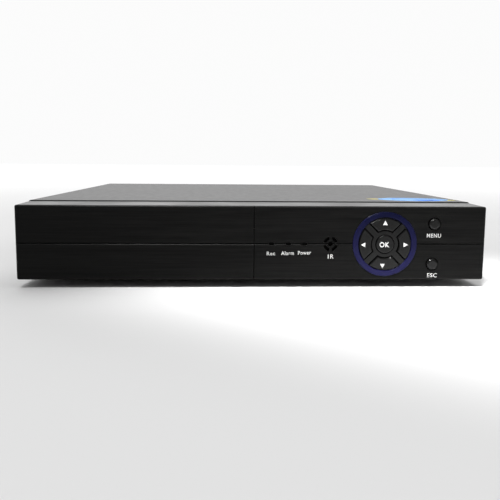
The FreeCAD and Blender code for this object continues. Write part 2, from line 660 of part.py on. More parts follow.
def vga_jackscrew(x):
    z = VGA[1]
    corner = 4.75 / 2 / math.cos(math.radians(30))
    points = []
    for k in range(6):
        a = math.radians(60 * k)
        points.append((x + corner * math.cos(a), z + corner * math.sin(a)))
    nut = prism_y(points, Y_PANEL, Y_PANEL + 5.0)
    nut = nut.common(soft_front(rod(x, z, corner, Y_PANEL, Y_PANEL + 5.0), Y_PANEL + 5.0, 0.35))
    nut = nut.fuse(rod(x, z, 1.4, Y_PANEL - 5, Y_PANEL + 0.5))
    return nut.cut(rod(x, z, 1.2, Y_PANEL + 0.2, Y_PANEL + 6))


def hd_port_shell():
    y0 = Y_PANEL - 11
    y1 = Y_PANEL + 0.6
    return hd_block(0.0, y0, y1).cut(hd_block(-0.4, y0 + 0.4, y1 + 1))


def hd_port_tongue():
    x, z = HD_PORT
    back = hd_block(-0.4, Y_PANEL - 10.6, Y_PANEL - 8.5)
    return back.fuse(box(x - 5.3, x + 5.3, Y_PANEL - 9, Y_PANEL - 0.8, z + 0.1, z + 1.3))


def lan_mouth(gap, y0, y1):
    """Outline of the network socket: a box with the stepped notch for the latch."""
    x = TOWER_X
    mouth = box(x - 6.0 - gap, x + 6.0 + gap, y0, y1, LAN_Z[0] - gap, LAN_Z[1] + gap)
    mouth = mouth.fuse(box(x - 3.3 - gap, x + 3.3 + gap, y0, y1, LAN_Z[1] - 1, LAN_Z[1] + 1.5 + gap))
    return mouth.fuse(box(x - 2.3 - gap, x + 2.3 + gap, y0, y1, LAN_Z[1], LAN_Z[1] + 2.7 + gap))


def usb_mouth(z, y0, y1):
    half_w, half_h = USB_SIZE[0] / 2, USB_SIZE[1] / 2
    return box(TOWER_X - half_w, TOWER_X + half_w, y0, y1, z - half_h, z + half_h)


def lan_usb_shell():
    x = TOWER_X
    y0 = Y_PANEL - 20
    y1 = Y_PANEL + TOWER_PROUD
    wall = 0.45
    can = box(x - TOWER_HALF, x + TOWER_HALF, y0, y1, BOARD_TOP, TOWER_TOP)
    inner = box(x - TOWER_HALF + wall, x + TOWER_HALF - wall, y0 - 1, y1 - wall,
                BOARD_TOP + wall, TOWER_TOP - wall)
    cuts = [inner, lan_mouth(0.0, y1 - 1, y1 + 1)]
    cuts += [usb_mouth(z, y1 - 1, y1 + 1) for z in USB_Z]
    near, far = LINK_LAMP_X
    cuts.append(box(x + near, x + far, y1 - 1, y1 + 1, *LINK_LAMP_Z))
    cuts.append(box(x - far, x - near, y1 - 1, y1 + 1, *LINK_LAMP_Z))
    return can.cut(cuts)


def lan_usb_insert():
    x = TOWER_X
    front = Y_PANEL + TOWER_PROUD - 0.45
    side = TOWER_HALF - 0.45
    core = box(x - side, x + side, Y_PANEL - 20, front, BOARD_TOP + 0.45, TOWER_TOP - 0.45)
    core = core.cut([lan_mouth(0.0, Y_PANEL - 12.5, front + 1)] +
                    [usb_mouth(z, Y_PANEL - 12.5, front + 1) for z in USB_Z])
    for z in USB_Z:
        core = core.fuse(box(x - 5.6, x + 5.6, Y_PANEL - 13, front - 0.8, z + 0.3, z + 2.0))
    return core


def header_pins():
    middle = sum(HEADER_X) / 2
    return (middle - HEADER_PITCH / 2, middle + HEADER_PITCH / 2)


def rs485_header():
    """Two-way header: one open pocket round each pin, with a polarising notch above it."""
    block = box(HEADER_X[0], HEADER_X[1], Y_PANEL - 9, Y_PANEL + 1.0, *HEADER_Z)
    cuts = []
    for x in header_pins():
        cuts.append(box(x - 1.55, x + 1.55, Y_TAIL, Y_PANEL + 2, HEADER_Z[0] + 0.9, HEADER_Z[1] - 1.8))
        cuts.append(box(x - 0.8, x + 0.8, Y_TAIL, Y_PANEL + 2, HEADER_Z[1] - 2, HEADER_Z[1] - 0.8))
    return block.cut(cuts)


def contact_pins():
    z = sum(HEADER_Z) / 2
    pins = [rod(x, z, 0.55, Y_TAIL, Y_PANEL - 0.5) for x in header_pins()]
    return pins + [rod(DC_HOLE[0], DC_HOLE[1], 1.05, Y_PANEL - 10, Y_PANEL - 0.8)]


def dc_jack():
    block = box(DC_X[0], DC_X[1], Y_PANEL - 13, Y_PANEL + 0.6, BOARD_TOP, DC_TOP)
    return block.cut(rod(DC_HOLE[0], DC_HOLE[1], 3.1, Y_PANEL - 10, Y_PANEL + 1))


def panel_screws():
    small = placed(screw(2.5, 1.6, 1.25, 7.0), (AUDIO_SCREW[0], Y_PANEL, AUDIO_SCREW[1]), (0, 1, 0))
    washer = pipe(GROUND[0], GROUND[1], 1.75, 3.3, Y_PANEL, Y_PANEL + 0.5)
    ground = placed(screw(2.8, 2.1, 1.45, 6.5), (GROUND[0], Y_PANEL + 0.5, GROUND[1]), (0, 1, 0))
    return [small, washer, ground]


# ---- main board ----------------------------------------------------------
def main_board():
    x0, x1, y0, y1 = MAIN_BOARD
    board = box(x0, x1, y0, y1, BOARD_Z, BOARD_TOP)
    return board.cut([post(x, y, 1.7, 0, 20) for x, y in BOARD_HOLES])


def standoff(x, y):
    return post(x, y, 2.8, FLOOR, BOARD_Z).cut(post(x, y, 1.3, 0, 20))


def board_components():
    """Processor, memory, power coils, filter capacitors and the clock crystal."""
    top = BOARD_TOP
    parts = [box(*PROCESSOR, top, top + 2.0)]
    parts += [box(x, x + 10, y, y + 14, top, top + 1.2) for x, y in MEMORY]
    parts += [box(x, x + 9, y, y + 8, top, top + 3.2) for x, y in COILS]
    parts += [post(x, y, 4.0, top, top + 11) for x, y in CAPACITORS]
    parts.append(box(4, 16, 40, 46, top, top + 3.0))
    return parts


def heatsink():
    x0, x1, y0, y1 = HEATSINK
    base = box(x0, x1, y0, y1, BOARD_TOP + 2.0, BOARD_TOP + 4.5)
    for k in range(FINS):
        y = y0 + FIN_PITCH * k
        base = base.fuse(box(x0, x1, y, y + 1.4, BOARD_TOP + 4, BOARD_TOP + 14))
    return base


def board_connectors():
    """Board headers for the disk and the keypad, and the coin cell's clip."""
    top = BOARD_TOP
    disk_leads = [box(x - 7, x + 7, 26, 33, top, top + 6) for x in LEAD_X]
    keypad = box(66, 72, 49, 61, top, top + 6)
    x, y, r = COIN_CELL
    clip = post(x, y, r + 1.5, top, top + 4.2).cut(post(x, y, r + 0.2, top + 0.9, top + 6))
    return disk_leads + [keypad, clip]


# ---- hard disk -----------------------------------------------------------
def in_disk(shape):
    moved = shape.copy()
    moved.translate(V(*DISK))
    return moved


def disk_hole_places():
    return [(DISK[0] + x, DISK[1] + y) for x, y in DISK_HOLES]


def hdd_base():
    body = rounded(box(0, DISK_L, 0, DISK_W, 0, DISK_BASE_H), (0, 0, 1), 3.0)
    well = post(*SPINDLE, PLATTER_R + 1.5, DISK_FLOOR, DISK_BASE_H + 1)
    arm_well = box(85, DISK_L - 4, 4, DISK_W - 4, DISK_FLOOR, DISK_BASE_H + 1)
    board_recess = box(52, DISK_L + 1, 8, DISK_W - 8, -1, 3.2)
    body = body.cut([well, rounded(arm_well, (0, 0, 1), 4.0), board_recess])
    root = DISK_FLOOR - 0.5
    body = body.fuse([post(*SPINDLE, 4.0, root, 17.0), post(*PIVOT, 3.0, root, 18.0)])
    holes = [post(x, y, 1.45, -1, 4.0) for x, y in DISK_HOLES]
    holes += [post(x, y, CAP_SCREW_R + 0.05, DISK_BASE_H - 3, DISK_BASE_H + 1) for x, y in CAP_SCREWS]
    return in_disk(body.cut(holes))


def hdd_cover():
    top = DISK_BASE_H
    lid = rounded(box(0.4, DISK_L - 0.4, 0.4, DISK_W - 0.4, top, top + 1.2), (0, 0, 1), 3.0)
    lid = lid.fuse([post(*SPINDLE, 44.0, top + 1, top + 2.4),
                    rounded(box(92, 138, 10, 92, top + 1, top + 2.0), (0, 0, 1), 5.0)])
    return in_disk(lid.cut([post(x, y, CAP_SCREW_R + 0.1, 20, 30) for x, y in CAP_SCREWS]))


def hdd_platter():
    return in_disk(post(*SPINDLE, PLATTER_R, PLATTER_Z, PLATTER_Z + PLATTER_T).cut(
        post(*SPINDLE, 12.5, PLATTER_Z - 1, PLATTER_Z + 3)))


def hdd_spindle():
    """Motor hub with the seat below the platter and the clamp ring above it."""
    hub = post(*SPINDLE, 12.45, DISK_FLOOR + 0.4, HUB_TOP)
    seat = post(*SPINDLE, 15.0, 10.5, PLATTER_Z)
    clamp = post(*SPINDLE, 15.5, PLATTER_Z + PLATTER_T, HUB_TOP)
    return in_disk(hub.fuse([seat, clamp]).cut(post(*SPINDLE, 4.05, 5, 20)))


def hdd_actuator():
    """Hub, one arm above and one below the platter, and the coil behind the pivot."""
    hub = Part.makeCylinder(7.0, 8.0, V(0, 0, 8.6))
    parts = [hub]
    for z in (PLATTER_Z - 1.8, PLATTER_Z + PLATTER_T + 0.8):
        arm = prism([(0, -4.5, z), (ARM_LENGTH, -1.5, z), (ARM_LENGTH, 1.5, z), (0, 4.5, z)], (0, 0, 1.0))
        parts.append(arm)
    outline = [(-5, -2.5), (-5, 2.5), (-27, 9), (-27, -9)]
    coil = prism([(x, y, COIL_Z) for x, y in outline], (0, 0, 1.9))
    body = parts[0].fuse(parts[1:] + [coil]).cut(Part.makeCylinder(3.05, 20, V(0, 0, 5)))
    body.rotate(V(0, 0, 0), V(0, 0, 1), PARKED)
    body.translate(V(PIVOT[0], PIVOT[1], 0))
    return in_disk(body)


def hdd_magnets():
    """Two yoke plates above and below the coil, joined by a post at the back."""
    plates = []
    for z in YOKE_Z:
        wedge = prism([(0, 0, z), (60, 5, z), (60, 60, z), (4, 60, z)], (0, 0, YOKE_T))
        ring = post(0, 0, YOKE_R[1], z, z + YOKE_T).cut(post(0, 0, YOKE_R[0], z, z + YOKE_T))
        plates.append(ring.common(wedge))
    joint = post(21.2, 21.2, 1.6, YOKE_Z[0] + 0.2, YOKE_Z[1] + 2.0).common(post(0, 0, YOKE_R[1], 0, 20))
    yoke = plates[0].fuse([plates[1], joint])
    yoke.translate(V(PIVOT[0], PIVOT[1], 0))
    return in_disk(yoke)


def hdd_board():
    board = box(53, DISK_L - 0.5, 9, 92.6, 1.2, 2.6)
    socket = box(DISK_L - 8, DISK_L, 10, 52, 2.6, 3.1).fuse(box(DISK_L - 6, DISK_L, 10, 52, -0.5, 1.2))
    return [in_disk(board), in_disk(socket)]


def hdd_screws():
    mount = screw(2.8, 0.9, 1.4, 5.0)
    parts = [placed(mount, (x, y, FOOT_HEIGHT), (0, 0, -1)) for x, y in disk_hole_places()]
    cap = screw(2.0, 0.8, CAP_SCREW_R, 3.0)
    for x, y in CAP_SCREWS:
        parts.append(placed(cap, (DISK[0] + x, DISK[1] + y, DISK[2] + DISK_BASE_H + 1.2), (0, 0, 1)))
    return parts


def disk_spacer(x, y):
    return post(x, y, 4.5, FLOOR, DISK[2]).cut(post(x, y, 1.8, 0, 10))


# ---- cables --------------------------------------------------------------
def sata_cables():
    """Signal and power leads from the disk's end to the board, each with two plugs."""
    end = DISK[0] + DISK_L
    plugs = [box(end + 0.2, end + 12, -51, -39, 5.4, 14.4), box(end + 0.2, end + 12, -77, -55, 5.4, 14.4)]
    plugs += [box(x - 6.5, x + 6.5, 14, 26, *PLUG_Z) for x in LEAD_X]
    near, far = LEAD_X
    signal = cable([(end + 12, -45, 10), (end + 23, -45, 10), (end + 26, -20, 11), (near, -4, 13),
                    (near, 14, 13)], 4.4)
    power = cable([(end + 12, -66, 10), (end + 33, -66, 10), (end + 37, -25, 11), (far, -5, 13),
                   (far, 14, 13)], 4.8)
    return plugs + [signal, power]


def keypad_cable():
    """Lead from the back of the keypad board to the main board, with its two plugs."""
    back = Y_BOARD + BOARD_T
    plugs = [box(90, 100, back, back + 6, 10, 18), box(72, 80, 50, 60, *PLUG_Z)]
    route = [(95, back + 6, 14), (95, -70, 14), (97, -35, 12), (95, 0, 11.5), (97, 32, 12), (94, 55, 13),
             (80, 55, 13)]
    return plugs + [cable(route, 4.0)]


# ---- export --------------------------------------------------------------
def save_front():
    save("front_plate", front_plate())
    save("front_bezel", front_bezel())
    save("nav_ring", nav_ring())
    save("nav_frame", nav_frame())
    for name, angle in (("right_button", 0), ("up_button", -90), ("left_button", 180), ("down_button", 90)):
        save(name, petal(angle))
    save("ok_button", ok_button())
    for name, place in ROUND_BUTTONS.items():
        save(name, round_button(*place))
    save("tact_switches", *[tact_switch(x, z) for x, z in switch_places()])
    save("light_pipes", *[light_pipe(x) for x in LAMP_X])
    save("indicator_leds", *[lamp(x) for x in LAMP_X])
    save("ir_window", rod(IR_X, GROOVE_Z, IR_WINDOW_R, Y_WALL, Y_WALL + 0.95))
    save("ir_receiver", ir_receiver())
    save("keypad_board", keypad_board())
    save("keypad_cable", *keypad_cable())


def save_case():
    save("top_cover", top_cover())
    save("chassis_tray", chassis_tray())
    save("rear_panel", rear_panel())
    save("rubber_feet", *[rubber_foot(x, y) for x, y in FEET])
    screws = []
    for side, y in case_screw_places():
        screws.append(placed(case_screw(), (side * HALF, y, SCREW_Z), (side, 0, 0)))
    save("case_screws", *screws)


def save_rear():
    save("bnc_housings", *[bnc_housing(x) for x in COLUMNS])
    save("bnc_shells", *[bnc_shell(x, z) for x, z in BNC_PLACES])
    save("bnc_insulators", *[bnc_insulator(x, z) for x, z in BNC_PLACES])
    save("jack_contacts", *[bnc_contact(x, z) for x, z in BNC_PLACES], *contact_pins())
    save("rca_shells", *[rca_shell(x, z, False) for x, z in AUDIO_IN])
    save("rca_insulators", *[rca_insulator(x, z) for x, z in AUDIO_IN])
    save("audio_out_shell", rca_shell(*AUDIO_OUT, True))
    save("audio_out_insulator", rca_insulator(*AUDIO_OUT))
    save("audio_jack_block", audio_jack_block())
    save("vga_shell", vga_shell())
    save("vga_insert", vga_insert())
    save("vga_housing", vga_housing())
    save("vga_jackscrews", *[vga_jackscrew(x) for x in vga_screw_places()])
    save("hd_port_shell", hd_port_shell())
    save("hd_port_tongue", hd_port_tongue())
    save("lan_usb_shell", lan_usb_shell())
    save("lan_usb_insert", lan_usb_insert())
    save("rs485_header", rs485_header())
    save("dc_jack", dc_jack())
    save("panel_screws", *panel_screws())


def save_inside():
    save("main_board", main_board())
    spacers = [disk_spacer(x, y) for x, y in disk_hole_places()]
    save("standoffs", *[standoff(x, y) for x, y in BOARD_HOLES], *spacers)
    large = screw(2.8, 1.8, 1.25, 5.5)
    small = screw(2.4, 1.6, 1.1, 6.0)
    fixings = [placed(large, (x, y, BOARD_TOP), (0, 0, 1)) for x, y in BOARD_HOLES]
    fixings += [placed(small, (x, Y_BOARD + BOARD_T, z), (0, 1, 0)) for x, z in KEYPAD_HOLES]
    save("board_screws", *fixings)
    save("board_components", *board_components())
    save("heatsink", heatsink())
    save("board_connectors", *board_connectors())
    save("coin_cell", post(*COIN_CELL, BOARD_TOP + 0.9, BOARD_TOP + 4.1))
    case = post(*BUZZER, 6.0, BOARD_TOP, BOARD_TOP + 8)
    save("alarm_buzzer", case.cut(post(*BUZZER, 1.2, BOARD_TOP + 5, BOARD_TOP + 9)))
    save("hdd_base", hdd_base())
    save("hdd_cover", hdd_cover())
    save("hdd_platter", hdd_platter())
    save("hdd_spindle", hdd_spindle())
    save("hdd_actuator", hdd_actuator())
    save("hdd_magnets", hdd_magnets())
    save("hdd_board", *hdd_board())
    save("hdd_screws", *hdd_screws())
    save("sata_cables", *sata_cables())


os.makedirs("parts", exist_ok=True)
save_front()
save_case()
save_rear()
save_inside()
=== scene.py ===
import json
import math

import bmesh
import bpy
from mathutils import Matrix, Vector

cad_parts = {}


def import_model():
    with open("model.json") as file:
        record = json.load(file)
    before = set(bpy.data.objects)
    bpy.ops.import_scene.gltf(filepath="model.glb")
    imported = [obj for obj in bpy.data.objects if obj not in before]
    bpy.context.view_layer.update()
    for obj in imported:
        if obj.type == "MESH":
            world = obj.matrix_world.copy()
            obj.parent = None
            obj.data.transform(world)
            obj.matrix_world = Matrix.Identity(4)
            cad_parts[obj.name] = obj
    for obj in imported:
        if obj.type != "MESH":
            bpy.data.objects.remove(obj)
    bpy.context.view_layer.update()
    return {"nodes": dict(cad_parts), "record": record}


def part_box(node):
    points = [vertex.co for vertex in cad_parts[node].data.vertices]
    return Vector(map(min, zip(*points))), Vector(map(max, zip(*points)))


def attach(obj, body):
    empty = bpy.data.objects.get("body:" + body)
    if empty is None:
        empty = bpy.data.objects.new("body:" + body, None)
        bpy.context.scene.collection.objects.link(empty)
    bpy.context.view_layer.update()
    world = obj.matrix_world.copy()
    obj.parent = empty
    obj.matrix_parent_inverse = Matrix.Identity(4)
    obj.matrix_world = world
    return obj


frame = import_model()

MM = 0.001
FACE_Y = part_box("front_plate")[0].y
PANEL_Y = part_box("rear_panel")[1].y
TOP_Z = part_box("top_cover")[1].z
GROOVE_Z = sum(p.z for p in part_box("nav_ring")) / 2
NAV_X = sum(p.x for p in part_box("nav_ring")) / 2


# ---- finishes ------------------------------------------------------------
class Finish:
    """A Principled material and the texture nodes that this model's finishes share."""

    def __init__(self, name, colour, roughness, metallic=0.0, **sockets):
        self.mat = bpy.data.materials.new(name)
        self.mat.use_nodes = True
        self.tree = self.mat.node_tree
        self.shader = self.tree.nodes["Principled BSDF"]
        self.colour = colour
        self.shader.inputs["Base Color"].default_value = (*colour, 1)
        self.shader.inputs["Roughness"].default_value = roughness
        self.shader.inputs["Metallic"].default_value = metallic
        for socket, value in sockets.items():
            self.shader.inputs[socket.replace("_", " ")].default_value = value
        self.mat.diffuse_color = (*colour, 1)
        self.place = self.node("ShaderNodeTexCoord").outputs["Object"]
        self.normal = None

    def node(self, kind, **settings):
        made = self.tree.nodes.new(kind)
        for key, value in settings.items():
            setattr(made, key, value)
        return made

    def link(self, out, into):
        self.tree.links.new(out, into)

    def noise(self, scale, stretch=(1, 1, 1), detail=3.0, rough=0.5):
        """Fractal noise; scale is features per metre, stretch multiplies it along each axis."""
        mapping = self.node("ShaderNodeMapping")
        mapping.inputs["Scale"].default_value = [scale * s for s in stretch]
        self.link(self.place, mapping.inputs["Vector"])
        made = self.node("ShaderNodeTexNoise")
        made.inputs["Scale"].default_value = 1.0
        made.inputs["Detail"].default_value = detail
        made.inputs["Roughness"].default_value = rough
        self.link(mapping.outputs["Vector"], made.inputs["Vector"])
        return made.outputs["Fac"]

    def level(self, value, low, high, to_low, to_high):
        """Maps value from low..high to to_low..to_high."""
        made = self.node("ShaderNodeMapRange")
        for key, number in (("From Min", low), ("From Max", high), ("To Min", to_low), ("To Max", to_high)):
            made.inputs[key].default_value = number
        self.link(value, made.inputs["Value"])
        return made.outputs["Result"]

    def edges(self, radius, low=0.02, high=0.22):
        """Mask of the edges, where the bevelled normal leaves the true one."""
        bevel = self.node("ShaderNodeBevel", samples=6)
        bevel.inputs["Radius"].default_value = radius
        flat = self.node("ShaderNodeNewGeometry").outputs["Normal"]
        dot = self.node("ShaderNodeVectorMath", operation="DOT_PRODUCT")
        self.link(bevel.outputs["Normal"], dot.inputs[0])
        self.link(flat, dot.inputs[1])
        return self.level(dot.outputs["Value"], 1 - low, 1 - high, 0.0, 1.0)

    def crevices(self, distance, low=0.25, high=0.8):
        """Mask of corners and recesses, where little light reaches."""
        occluded = self.node("ShaderNodeAmbientOcclusion", samples=8)
        occluded.inputs["Distance"].default_value = distance
        return self.level(occluded.outputs["AO"], low, high, 1.0, 0.0)

    def along(self, axis):
        split = self.node("ShaderNodeSeparateXYZ")
        self.link(self.place, split.inputs[0])
        return split.outputs[axis]

    def mix(self, value, first, second):
        """Colour between two colours or colour outputs, at a share that is a number or an output."""
        made = self.node("ShaderNodeMix", data_type="RGBA")
        if isinstance(value, float):
            made.inputs["Factor"].default_value = value
        else:
            self.link(value, made.inputs["Factor"])
        for socket, colour in (("A", first), ("B", second)):
            target = [s for s in made.inputs if s.name == socket and s.type == "RGBA"][0]
            if isinstance(colour, (tuple, list)):
                target.default_value = (*colour, 1)
            else:
                self.link(colour, target)
        return [s for s in made.outputs if s.type == "RGBA"][0]

    def paint(self, colour_out):
        self.link(colour_out, self.shader.inputs["Base Color"])
        return self

    def shade(self, value, low, high):
        """Varies the base colour's brightness between two factors."""
        dark = [c * low for c in self.colour]
        light = [min(1.0, c * high) for c in self.colour]
        return self.paint(self.mix(self.level(value, 0.3, 0.7, 0, 1), dark, light))

    def gloss(self, value, low, high):
        self.link(self.level(value, 0.3, 0.7, low, high), self.shader.inputs["Roughness"])
        return self

    def soften(self, radius):
        """Rounds the look of the sharp edges."""
        bevel = self.node("ShaderNodeBevel", samples=4)
        bevel.inputs["Radius"].default_value = radius
        self.normal = bevel.outputs["Normal"]
        self.link(self.normal, self.shader.inputs["Normal"])
        return self

    def bump(self, value, depth, strength=1.0):
        made = self.node("ShaderNodeBump")
        made.inputs["Strength"].default_value = strength
        made.inputs["Distance"].default_value = depth
        self.link(value, made.inputs["Height"])
        if self.normal is not None:
            self.link(self.normal, made.inputs["Normal"])
        self.normal = made.outputs["Normal"]
        self.link(self.normal, self.shader.inputs["Normal"])
        return self


def brushed_black():
    """Front face: black lacquer over a fine horizontal brushing."""
    f = Finish("brushed_black", (0.0030, 0.0030, 0.0028), 0.4, Specular_IOR_Level=0.11)
    f.soften(0.12 * MM)
    grain = f.noise(1.0, (45, 45, 1900), 4.0, 0.62)
    wide = f.noise(1.0, (14, 14, 620), 2.0)
    streaks = f.mix(f.level(grain, 0.38, 0.66, 0, 1), (0.0008, 0.0008, 0.0008), (0.0058, 0.0058, 0.0054))
    broad = f.mix(f.level(wide, 0.38, 0.64, 0, 0.8), (0.0008, 0.0008, 0.0008), (0.0056, 0.0056, 0.0052))
    brushing = f.mix(0.4, streaks, broad)
    f.paint(f.mix(f.edges(0.25 * MM), brushing, (0.010, 0.010, 0.010)))
    f.gloss(grain, 0.34, 0.5)
    return f.bump(grain, 0.03 * MM, 0.35).mat


def satin_bezel():
    f = Finish("satin_bezel", (0.012, 0.012, 0.0115), 0.42, Specular_IOR_Level=0.5)
    f.soften(0.2 * MM).shade(f.noise(60), 0.85, 1.2).gloss(f.noise(35), 0.38, 0.5)
    return f.bump(f.noise(3200, detail=2.0), 0.02 * MM, 0.4).mat


def powder_coat():
    """Cover and tray: satin black powder coat with faint orange peel and rubbed edges."""
    f = Finish("powder_coat", (0.0075, 0.0075, 0.0073), 0.45, Specular_IOR_Level=0.24)
    f.soften(0.25 * MM)
    patch = f.noise(420, detail=5.0)
    base = f.mix(f.level(patch, 0.35, 0.7, 0, 1), (0.0058, 0.0058, 0.0057), (0.0092, 0.0092, 0.0090))
    scuffs = f.node("ShaderNodeMath", operation="MULTIPLY")
    f.link(f.edges(0.35 * MM, 0.05, 0.3), scuffs.inputs[0])
    f.link(f.level(f.noise(260, detail=4.0), 0.5, 0.66, 0, 0.55), scuffs.inputs[1])
    f.paint(f.mix(scuffs.outputs[0], base, (0.10, 0.10, 0.10)))
    f.gloss(f.noise(260, detail=5.0), 0.43, 0.48)
    f.bump(f.noise(900, detail=2.0), 0.02 * MM, 0.2)
    return f.bump(f.noise(3600, detail=1.0), 0.02 * MM, 0.35).mat


def ring_plastic():
    """Dark blue translucent ring, painted darker towards its top as painted shade."""
    f = Finish("ring_blue", (0.013, 0.015, 0.055), 0.3, Specular_IOR_Level=0.07)
    low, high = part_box("nav_ring")
    height = f.level(f.along("Z"), low.z, high.z, 0, 1)
    # painted shade: the base colour darkens from the ring's bottom to its top
    f.paint(f.mix(height, (0.0130, 0.0125, 0.053), (0.0020, 0.0026, 0.016)))
    f.gloss(f.noise(90), 0.22, 0.34)
    return f.bump(f.noise(1400), 0.01 * MM, 0.25).mat


def key_plastic():
    f = Finish("key_black", (0.0036, 0.0036, 0.0035), 0.23, Specular_IOR_Level=0.24)
    f.soften(0.12 * MM).shade(f.noise(240), 0.85, 1.2).gloss(f.noise(160), 0.20, 0.27)
    return f.bump(f.noise(4200, detail=2.0), 0.015 * MM, 0.4).mat


def panel_film():
    """Blue-grey printed film with a fine matt grain."""
    f = Finish("panel_film", (0.138, 0.205, 0.248), 0.48, Specular_IOR_Level=0.4)
    f.shade(f.noise(30, detail=6.0), 0.95, 1.05).gloss(f.noise(70, detail=5.0), 0.42, 0.56)
    return f.bump(f.noise(4200, detail=2.0), 0.012 * MM, 0.5).mat


def nickel():
    """Warm satin nickel with turning marks, a little tarnish and painted shade in its recesses."""
    f = Finish("nickel", (0.36, 0.325, 0.275), 0.24, 1.0)
    f.soften(0.12 * MM)
    stain = f.level(f.noise(420, detail=5.0), 0.45, 0.72, 0, 0.4)
    plated = f.mix(stain, (0.38, 0.345, 0.295), (0.22, 0.195, 0.16))
    # painted shade: recesses darkened through the occlusion mask
    f.paint(f.mix(f.crevices(2.5 * MM), plated, (0.05, 0.043, 0.035)))
    f.gloss(f.noise(900, detail=4.0), 0.18, 0.32)
    return f.bump(f.noise(1.0, (150, 5200, 150), 2.0), 0.012 * MM, 0.35).mat


def plastic(name, colour, roughness=0.42, grain=3000, **sockets):
    """Moulded plastic with a fine spark-eroded grain."""
    f = Finish(name, colour, roughness, **sockets)
    f.soften(0.1 * MM).shade(f.noise(120, detail=4.0), 0.88, 1.12)
    f.gloss(f.noise(220, detail=4.0), roughness - 0.07, roughness + 0.09)
    return f.bump(f.noise(grain, detail=2.0), 0.015 * MM, 0.4).mat


def chrome():
    """Bright plated screws, with painted shade in their recesses."""
    f = Finish("zinc", (0.74, 0.74, 0.73), 0.2, 1.0)
    f.soften(0.1 * MM)
    # painted shade: recesses such as the cross slot darkened through the occlusion mask
    f.paint(f.mix(f.crevices(1.2 * MM, 0.2, 0.75), (0.74, 0.74, 0.73), (0.03, 0.028, 0.026)))
    f.gloss(f.noise(500, detail=4.0), 0.14, 0.28)
    return f.bump(f.noise(1600, detail=2.0), 0.008 * MM, 0.3).mat


def metal(name, colour, roughness, stretch=(1, 1, 1), scale=1500):
    """Bare metal with its grain along the axis of least stretch."""
    f = Finish(name, colour, roughness, 1.0)
    f.soften(0.1 * MM).shade(f.noise(140, detail=5.0), 0.82, 1.1)
    grain = f.noise(scale, stretch, 3.0)
    f.gloss(grain, roughness - 0.08, roughness + 0.12)
    return f.bump(grain, 0.015 * MM, 0.35).mat


def circuit_board():
    """Green solder mask over copper tracks, with fine glass weave."""
    f = Finish("circuit_board", (0.012, 0.11, 0.035), 0.35, Coat_Weight=0.3, Coat_Roughness=0.2)
    tracks = f.node("ShaderNodeTexBrick", offset=0.37, squash=1.6, squash_frequency=3)
    tracks.inputs["Scale"].default_value = 160
    tracks.inputs["Mortar Size"].default_value = 0.035
    tracks.inputs["Color1"].default_value = (0.010, 0.085, 0.028, 1)
    tracks.inputs["Color2"].default_value = (0.014, 0.12, 0.04, 1)
    tracks.inputs["Mortar"].default_value = (0.03, 0.21, 0.06, 1)
    f.link(f.place, tracks.inputs["Vector"])
    f.paint(tracks.outputs["Color"]).gloss(f.noise(400), 0.3, 0.42)
    return f.bump(tracks.outputs["Fac"], 0.03 * MM, 0.4).mat


def cast_metal():
    f = Finish("cast_metal", (0.42, 0.42, 0.43), 0.5, 0.9)
    f.soften(0.3 * MM).shade(f.noise(70, detail=6.0), 0.75, 1.15).gloss(f.noise(300), 0.42, 0.6)
    return f.bump(f.noise(1500, detail=4.0), 0.05 * MM, 0.5).mat


def ink(name, colour, roughness=0.5):
    """Screen-printed ink, very slightly uneven."""
    f = Finish(name, colour, roughness, Specular_IOR_Level=0.35)
    f.shade(f.noise(1600, detail=3.0), 0.9, 1.06).gloss(f.noise(800), roughness - 0.06, roughness + 0.08)
    return f.bump(f.noise(5000, detail=1.0), 0.004 * MM, 0.4).mat


def sticker_paper(name, colour):
    """Matt printed paper with a faint fibre."""
    f = Finish(name, colour, 0.75, Specular_IOR_Level=0.06)
    f.shade(f.noise(700, detail=4.0), 0.94, 1.05).gloss(f.noise(500), 0.68, 0.82)
    return f.bump(f.noise(2600, detail=3.0), 0.006 * MM, 0.3).mat


BLACK = (0.0105, 0.0105, 0.0105)
FINISHES = {
    "front_plate": brushed_black(),
    "bezel": satin_bezel(),
    "nav_ring": ring_plastic(),
    "keypad_plastic": key_plastic(),
    "black_plastic": plastic("black_plastic", BLACK, 0.4),
    "clear_plastic": plastic("smoked_clear", (0.0008, 0.0008, 0.0008), 0.3, 900, Specular_IOR_Level=0.03),
    "led": plastic("led_body", (0.75, 0.75, 0.68), 0.3),
    "ir_plastic": plastic("ir_filter", (0.0009, 0.0005, 0.0006), 0.3, 900, Specular_IOR_Level=0.02),
    "circuit_board": circuit_board(),
    "cable_grey": plastic("cable_grey", (0.16, 0.16, 0.17), 0.5, 1200),
    "cable_red": plastic("cable_red", (0.42, 0.015, 0.012), 0.45, 1200),
    "cover_paint": powder_coat(),
    "panel_film": panel_film(),
    "rubber": plastic("rubber", (0.013, 0.013, 0.013), 0.72, 1800),
    "black_screw": metal("black_zinc", (0.045, 0.045, 0.048), 0.38),
    "nickel": nickel(),
    "white_plastic": plastic("natural_plastic", (0.70, 0.68, 0.62), 0.42, 2600),
    "red_plastic": plastic("red_plastic", (0.24, 0.012, 0.014), 0.36, 2600),
    "brass": metal("gold_flash", (0.78, 0.58, 0.24), 0.25),
    "blue_plastic": plastic("blue_plastic", (0.012, 0.085, 0.42), 0.4, 2600),
    "green_plastic": plastic("green_plastic", (0.045, 0.25, 0.062), 0.42, 2600),
    "zinc_screw": chrome(),
    "chip": plastic("chip_epoxy", (0.018, 0.018, 0.020), 0.5, 2600),
    "heatsink": metal("heatsink", (0.42, 0.42, 0.44), 0.4, (1, 0.05, 0.05), 2500),
    "cast_metal": cast_metal(),
    "disk_cover": metal("stamped_steel", (0.62, 0.62, 0.63), 0.3, (0.05, 1, 1), 2500),
    "platter": metal("platter", (0.82, 0.82, 0.84), 0.12),
}
SLOT_OF = {s["node"]: s["material_slot"] for s in frame["record"]["subparts"]}
for node, obj in frame["nodes"].items():
    obj.material_slots[0].material = FINISHES[SLOT_OF[node]]
